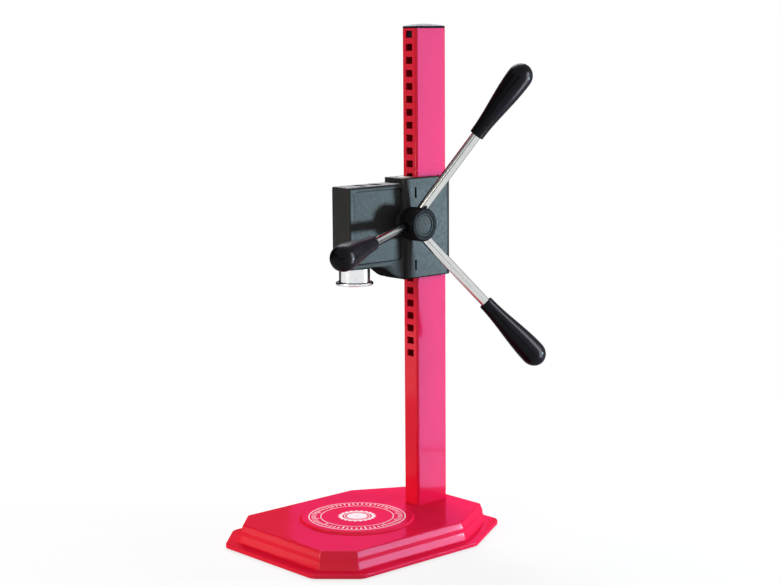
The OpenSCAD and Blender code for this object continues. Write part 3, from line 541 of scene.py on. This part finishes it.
def ink_tick(turn, near, far):
    """A straight radial stroke of ink, closed at its top and foot."""
    ray = Vector((math.cos(turn), math.sin(turn)))
    side = Vector((-ray.y, ray.x)) * TICK_WIDTH / 2
    outline = [ray * near - side, ray * far - side, ray * far + side, ray * near + side]
    tick = skin("ink", [[(p.x, p.y, z) for p in outline] for z in (INK_TOP, INK_FOOT)])
    work = bmesh.new()
    work.from_mesh(tick.data)
    bmesh.ops.holes_fill(work, edges=[edge for edge in work.edges if edge.is_boundary], sides=0)
    work.to_mesh(tick.data)
    work.free()
    return tick


def join_pieces(name, parts):
    """Joins finished meshes into one named piece."""
    work = bmesh.new()
    for part in parts:
        work.from_mesh(part.data)
        old = part.data
        bpy.data.objects.remove(part)
        bpy.data.meshes.remove(old)
    mesh = bpy.data.meshes.new(name)
    work.to_mesh(mesh)
    work.free()
    joined = bpy.data.objects.new(name, mesh)
    bpy.context.scene.collection.objects.link(joined)
    return joined


ink_parts = [
    ink_ring(round_outline(inner), round_outline(outer))
    for inner, outer in RINGS + CAP_RINGS
]
skirt_inner = round_outline(CAP_SKIRT[0], CAP_POINTS)
skirt_outer = round_outline(CAP_SKIRT[1], CAP_POINTS, CAP_TOOTH)
ink_parts.append(ink_ring(skirt_inner, skirt_outer))
for i in range(TICK_COUNT):
    tick_start = TICK_ENDS[0] if i % LONG_TICK_EVERY else LONG_TICK_START
    ink_parts.append(ink_tick(2 * math.pi * i / TICK_COUNT, tick_start, TICK_ENDS[1]))
pad_print = join_pieces("pad_print", ink_parts)
close_and_smooth(pad_print)
white_ink = mix_finish(
    "white_ink",
    tones=[(0.86, 0.66, 0.70), (0.88, 0.84, 0.85)], tone_grain=(3.5, 5.0),
    roughness=(0.45, 0.6), roughness_grain=(1.0, 2.0),
    bumps={"Normal": 0.01}, bump_grain=(0.6, 2.0),
    levels={"Specular IOR Level": 0.2})
pad_print.data.materials.append(white_ink)
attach(pad_print, "stand")


# Column
# A drawn rectangular steel tube with a row of punched slots in its narrow front face,
# enamelled like the base. Two bolts from below hold it on the deck.
column_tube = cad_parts["column_tube"]


def coat_nodes(finish, *names):
    """Gives CAD nodes a finish."""
    for name in names:
        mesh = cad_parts[name].data
        mesh.materials.clear()
        mesh.materials.append(finish)


WELD_REACH = 0.002
FLAT_ANGLE = math.radians(0.5)
EASED_ANGLE = math.radians(40.0)


def weld_points(name):
    """Joins the doubled points of a CAD node by a modifier."""
    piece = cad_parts[name]
    piece.modifiers.new("weld", "WELD").merge_threshold = WELD_REACH * MM
    return piece


def ease_edges(width_mm, *names):
    """Rounds the sharp edges of CAD nodes by modifiers, and leaves their own meshes as they are."""
    for name in names:
        piece = weld_points(name)
        flat = piece.modifiers.new("flat_faces", "DECIMATE")
        flat.decimate_type = "DISSOLVE"
        flat.angle_limit = FLAT_ANGLE
        ease = piece.modifiers.new("eased_edges", "BEVEL")
        ease.width = width_mm * MM
        ease.segments = 2
        ease.limit_method = "ANGLE"
        ease.angle_limit = EASED_ANGLE
        ease.harden_normals = True
        ease.use_clamp_overlap = False
        ease.loop_slide = False


coat_nodes(red_enamel, "column_tube")
ease_edges(0.2, "column_tube")
link_light(strip_column, "INCLUDE", column_tube)
link_light(strip_foot, "INCLUDE", column_tube)
link_light(strip_left, "INCLUDE", base_pressing, column_tube)
link_light(key_right, "EXCLUDE", column_tube)


# Column cap
# An insert that closes the tube's upper end. It is moulded of dark plastic with a faint grain
# and holds by its push fit.
dark_plastic = mix_finish(
    "dark_plastic",
    tones=[(0.006, 0.005, 0.009), (0.011, 0.010, 0.015)], tone_grain=(6.0, 2.0),
    roughness=(0.40, 0.55), roughness_grain=(2.0, 2.0),
    bumps={"Normal": 0.02}, bump_grain=(0.5, 2.0),
    levels={"Specular IOR Level": 0.06})
coat_nodes(dark_plastic, "column_cap")
ease_edges(0.3, "column_cap")


# Fixings under the base
# A backing plate, two hexagon bolts with washers, and the tapped block in the tube that they pull on.
# All are steel, zinc plated and a little dull.
zinc_plate = mix_finish(
    "zinc_plate",
    tones=[(0.46, 0.47, 0.49), (0.60, 0.61, 0.62)], tone_grain=(4.0, 4.0),
    roughness=(0.24, 0.42), roughness_grain=(1.5, 3.0),
    bumps={"Normal": 0.008}, bump_grain=(0.4, 2.0),
    levels={"Metallic": 1.0})
coat_nodes(zinc_plate, "backing_plate", "base_washers", "base_bolts", "column_foot")
ease_edges(0.3, "backing_plate", "base_bolts")
ease_edges(0.2, "base_washers")


# Rubber feet
# Four discs under the rim that keep the base from sliding on the bench.
# They are cut from black rubber and stuck on.
foot_rubber = mix_finish(
    "foot_rubber",
    tones=[(0.012, 0.012, 0.012), (0.026, 0.026, 0.025)], tone_grain=(3.0, 2.0),
    roughness=(0.7, 0.9), roughness_grain=(1.0, 2.0),
    bumps={"Normal": 0.04}, bump_grain=(0.6, 2.0))
coat_nodes(foot_rubber, "rubber_feet")
ease_edges(0.5, "rubber_feet")


# Head
# The arm with its sunk panels and the collar round the column, in one moulding of glass-filled plastic,
# and the cover that closes its far side. Downward faces lose their gloss: painted shade on the underside.
HOUSING_GLOSS = 0.2
DOWNWARD_SHADE = (-0.25, -0.05)
housing_plastic = mix_finish(
    "housing_plastic",
    tones=[(0.0118, 0.0122, 0.0126), (0.0175, 0.018, 0.0185)], tone_grain=(14.0, 3.0),
    roughness=(0.45, 0.51), roughness_grain=(3.0, 2.0),
    bumps={"Normal": 0.012}, bump_grain=(0.45, 2.0))
housing = housing_plastic.node_tree
housing_gloss = housing.nodes["Principled BSDF"].inputs["Specular IOR Level"]
housing_face = housing.nodes.new("ShaderNodeTexCoord")
housing_shade_lie = housing.nodes.new("ShaderNodeSeparateXYZ")
housing.links.new(housing_face.outputs["Normal"], housing_shade_lie.inputs["Vector"])
# Painted shade: faces that look down get no gloss, so the underside stays dark.
vary(housing, housing_shade_lie.outputs["Z"], housing_gloss, 0.0, HOUSING_GLOSS, DOWNWARD_SHADE)
coat_nodes(housing_plastic, "head_body", "bearing_cover")
link_light(key_head, "INCLUDE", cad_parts["head_body"])
ease_edges(0.3, "head_body")
ease_edges(0.4, "bearing_cover")


# Guides and bushes
# Nylon blocks and pads that slide on the column, the washer that gives the wheel its drag, and the
# blackened flat keys that hold the blocks. The shaft's bushes and the bell's insert are bronze.
white_nylon = mix_finish(
    "white_nylon",
    tones=[(0.76, 0.74, 0.66), (0.84, 0.82, 0.75)], tone_grain=(5.0, 2.0),
    roughness=(0.4, 0.55), roughness_grain=(2.0, 2.0))
coat_nodes(white_nylon, "guide_block_upper", "guide_block_lower", "rear_guide_pads", "friction_washer")
ease_edges(0.3, "guide_block_upper", "guide_block_lower", "rear_guide_pads")

black_oxide = mix_finish(
    "black_oxide",
    tones=[(0.020, 0.020, 0.022), (0.035, 0.035, 0.038)], tone_grain=(2.0, 2.0),
    roughness=(0.35, 0.5), roughness_grain=(1.0, 2.0),
    levels={"Metallic": 0.6})
coat_nodes(black_oxide, "guide_keys")
ease_edges(0.2, "guide_keys")

bush_bronze = mix_finish(
    "bush_bronze",
    tones=[(0.52, 0.32, 0.13), (0.64, 0.42, 0.19)], tone_grain=(2.5, 2.0),
    roughness=(0.3, 0.45), roughness_grain=(1.0, 2.0),
    levels={"Metallic": 1.0})
coat_nodes(bush_bronze, "bush_front", "bush_rear", "bell_insert")


# Pinion and shaft
# An eight-tooth pinion pinned to its shaft, and the spring washer that presses on the drag washer.
# All are steel, zinc plated like the fixings.
coat_nodes(zinc_plate, "pinion", "pinion_pin", "pinion_shaft", "spring_washer")
weld_points("pinion")


# Cover screws
# Three screws with domed heads and a cross recess that hold the bearing cover on the head.
# They are steel, zinc plated, and stand on a circle round the wheel's axis.
AXIS_X = 60.3206
AXIS_Z = 298.0
SCREW_CIRCLE = 24.03
SCREW_SEAT_Y = 20.5
SCREW_END_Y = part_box("cover_screws")[0][1] / MM
SHANK_RADIUS = 2.0
END_CHAMFER = 0.5
HEAD_HEIGHT = 2.0
HEAD_RADIUS = 3.6
HEAD_DOME_RADII = (2.4, 2.8, 3.15)
HEAD_EDGE = [(3.42, 0.95), (HEAD_RADIUS, 0.6), (HEAD_RADIUS, 0.0)]
DOME_DROP = 0.5
CROSS_REACH = 2.0
CROSS_HALF_WIDTH = 0.45
CROSS_DEPTH = 1.2
CROSS_FLOOR_SHARE = 0.7
CROSS_SLACK = 1e-6

# Directions from an arm's middle line, in radians: one within the arm and two past its corner
WITHIN_ARM = 0.1
PAST_ARM = [0.36, 0.52]

# Turn on the circle and turn about the screw's own axis, in degrees
SCREW_TURNS = [(90.0, 12.0), (210.0, 68.0), (330.0, 37.0)]


def cross_reach(turn):
    """How far the cross recess reaches from its middle in a direction."""
    off = abs((turn + math.pi / 4) % (math.pi / 2) - math.pi / 4)
    if CROSS_REACH * math.tan(off) <= CROSS_HALF_WIDTH + CROSS_SLACK:
        return CROSS_REACH / math.cos(off)
    return CROSS_HALF_WIDTH / math.sin(off)


def dome(reach):
    """The height of the screw's domed head at a distance from its middle."""
    return HEAD_HEIGHT * (1.0 - DOME_DROP * (reach / HEAD_RADIUS) ** 2)


def cover_screw(circle_turn, own_turn):
    """One screw, as rings of points from the bottom of its cross to its inner end."""
    arm_corner = math.atan(CROSS_HALF_WIDTH / CROSS_REACH)
    half = [WITHIN_ARM, arm_corner] + PAST_ARM
    steps = [-math.pi / 4] + [-step for step in reversed(half)] + [0.0] + half
    turns = [quarter * math.pi / 2 + step for quarter in range(4) for step in steps]
    cross = [cross_reach(turn) for turn in turns]
    cross_floor = HEAD_HEIGHT - CROSS_DEPTH
    inner = SCREW_END_Y - SCREW_SEAT_Y
    shank = [(SHANK_RADIUS, 0.0), (SHANK_RADIUS, inner + END_CHAMFER), (SHANK_RADIUS - END_CHAMFER, inner)]
    outside = [(reach, dome(reach)) for reach in HEAD_DOME_RADII] + HEAD_EDGE + shank + [(0.0, inner)]
    rings = [
        [(0.0, cross_floor)] * len(turns),
        [(CROSS_FLOOR_SHARE * reach, cross_floor) for reach in cross],
        [(reach, dome(reach)) for reach in cross],
    ]
    rings += [[point] * len(turns) for point in outside]
    middle_x = AXIS_X + SCREW_CIRCLE * math.cos(math.radians(circle_turn))
    middle_z = AXIS_Z + SCREW_CIRCLE * math.sin(math.radians(circle_turn))
    angles = [turn + math.radians(own_turn) for turn in turns]
    rows = []
    for ring in rings:
        rows.append([
            (middle_x + reach * math.cos(angle), SCREW_SEAT_Y + rise, middle_z + reach * math.sin(angle))
            for (reach, rise), angle in zip(ring, angles)
        ])
    return skin("screw", rows)


cross_screws = join_pieces("cross_screws", [cover_screw(*turns) for turns in SCREW_TURNS])
close_and_smooth(cross_screws)
cross_screws.data.materials.append(zinc_plate)
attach(cross_screws, "head")
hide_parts("cover_screws")


# Bell
# A turned steel cup with a rolled lip, chromium plated. It hangs on a stud in the arm,
# with a magnet inside for the crown cap.


def polished_plate(name, tones):
    """A bright plated finish on steel, with faint clouds in its tone and its polish."""
    return mix_finish(
        name,
        tones=tones, tone_grain=(6.0, 3.0),
        roughness=(0.10, 0.16), roughness_grain=(2.0, 4.0),
        bumps={"Normal": 0.001}, bump_grain=(0.8, 2.0),
        levels={"Metallic": 1.0, "Specular Tint": (0.08, 0.085, 0.10, 1.0)})


chrome_plate = polished_plate("chrome_plate", [(0.74, 0.75, 0.77), (0.82, 0.83, 0.85)])
coat_nodes(chrome_plate, "bell_cup")
coat_nodes(zinc_plate, "bell_stud", "bell_magnet")


# Hub
# The wheel's middle, moulded of black plastic with a fine grain, with sockets for the rods.
# A steel screw holds it on the shaft.
hub_black = mix_finish(
    "hub_black",
    tones=[(0.004, 0.004, 0.006), (0.008, 0.008, 0.010)], tone_grain=(6.0, 2.0),
    roughness=(0.38, 0.50), roughness_grain=(2.5, 2.0),
    bumps={"Normal": 0.006}, bump_grain=(0.5, 2.0),
    levels={"Specular IOR Level": 0.05})
coat_nodes(hub_black, "hub")
ease_edges(0.4, "hub")
coat_nodes(zinc_plate, "hub_screw")


# Cover disc
# A disc of dark grey plastic with a shallow groove and a rounded edge, moulded.
# It is pressed into the hub's face and hides the screw.
DISC_RADIUS = 12.0
DISC_BACK_RADIUS = 11.0
DISC_MIDDLE_RADIUS = 1.0
DISC_FACE_Y = -38.5
DISC_EDGE_Y = -38.9
DISC_BACK_Y = -36.7
GROOVE_Y = -38.1
GROOVE_MOUTH = (8.9, 10.3)
GROOVE_FLOOR = (9.3, 9.9)
DISC_BENDS = [0.3, 0.15, 0.15, 0.3, 0.5, 0.2]
DISC_POINTS = 96
disc_grey = mix_finish(
    "disc_grey",
    tones=[(0.030, 0.032, 0.036), (0.040, 0.042, 0.047)], tone_grain=(4.0, 2.0),
    roughness=(0.4, 0.5), roughness_grain=(1.5, 2.0),
    bumps={"Normal": 0.01}, bump_grain=(0.4, 2.0),
    levels={"Specular IOR Level": 0.15})
disc_path = soften([
    (DISC_MIDDLE_RADIUS, DISC_FACE_Y), (GROOVE_MOUTH[0], DISC_FACE_Y),
    (GROOVE_FLOOR[0], GROOVE_Y), (GROOVE_FLOOR[1], GROOVE_Y),
    (GROOVE_MOUTH[1], DISC_EDGE_Y), (DISC_RADIUS, DISC_EDGE_Y),
    (DISC_RADIUS, DISC_BACK_Y), (DISC_BACK_RADIUS, DISC_BACK_Y),
], DISC_BENDS)
disc_path = [(0.0, DISC_FACE_Y)] + disc_path + [(0.0, DISC_BACK_Y)]
disc_angles = [2 * math.pi * i / DISC_POINTS for i in range(DISC_POINTS)]
cover_disc = skin("cover_disc", [
    [(AXIS_X + r * math.cos(a), y, AXIS_Z + r * math.sin(a)) for a in disc_angles]
    for r, y in disc_path
])
close_and_smooth(cover_disc)
cover_disc.data.materials.append(disc_grey)
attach(cover_disc, "wheel")
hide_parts("hub_cap")


# Rods
# Three round steel rods of the wheel, nickel plated and polished.
# They screw into the hub and carry the grips.
nickel_plate = polished_plate("nickel_plate", [(0.61, 0.63, 0.62), (0.68, 0.70, 0.69)])
coat_nodes(nickel_plate, "spoke_rod_1", "spoke_rod_2", "spoke_rod_3")


# Grips
# Three pear-shaped handles moulded of black plastic with a gloss skin, screwed on the rods' ends.
# Their mouths are eased where they meet the rods.
GRIP_NAMES = ["grip_1", "grip_2", "grip_3"]
grips = [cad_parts[name] for name in GRIP_NAMES]
black_gloss = mix_finish(
    "black_gloss",
    tones=[(0.0018, 0.0018, 0.0032), (0.0034, 0.0034, 0.0058)], tone_grain=(8.0, 2.0),
    roughness=(0.35, 0.45), roughness_grain=(3.0, 3.0),
    bumps={"Normal": 0.004, "Coat Normal": 0.002}, bump_grain=(1.2, 2.0),
    levels={"Specular IOR Level": 0.02, "Coat Weight": 0.021, "Coat Roughness": 0.18, "Coat IOR": 4.0})
coat_nodes(black_gloss, *GRIP_NAMES)
ease_edges(0.5, *GRIP_NAMES)
link_light(strip_grips, "INCLUDE", *grips)
link_light(softbox_left, "EXCLUDE", *grips)
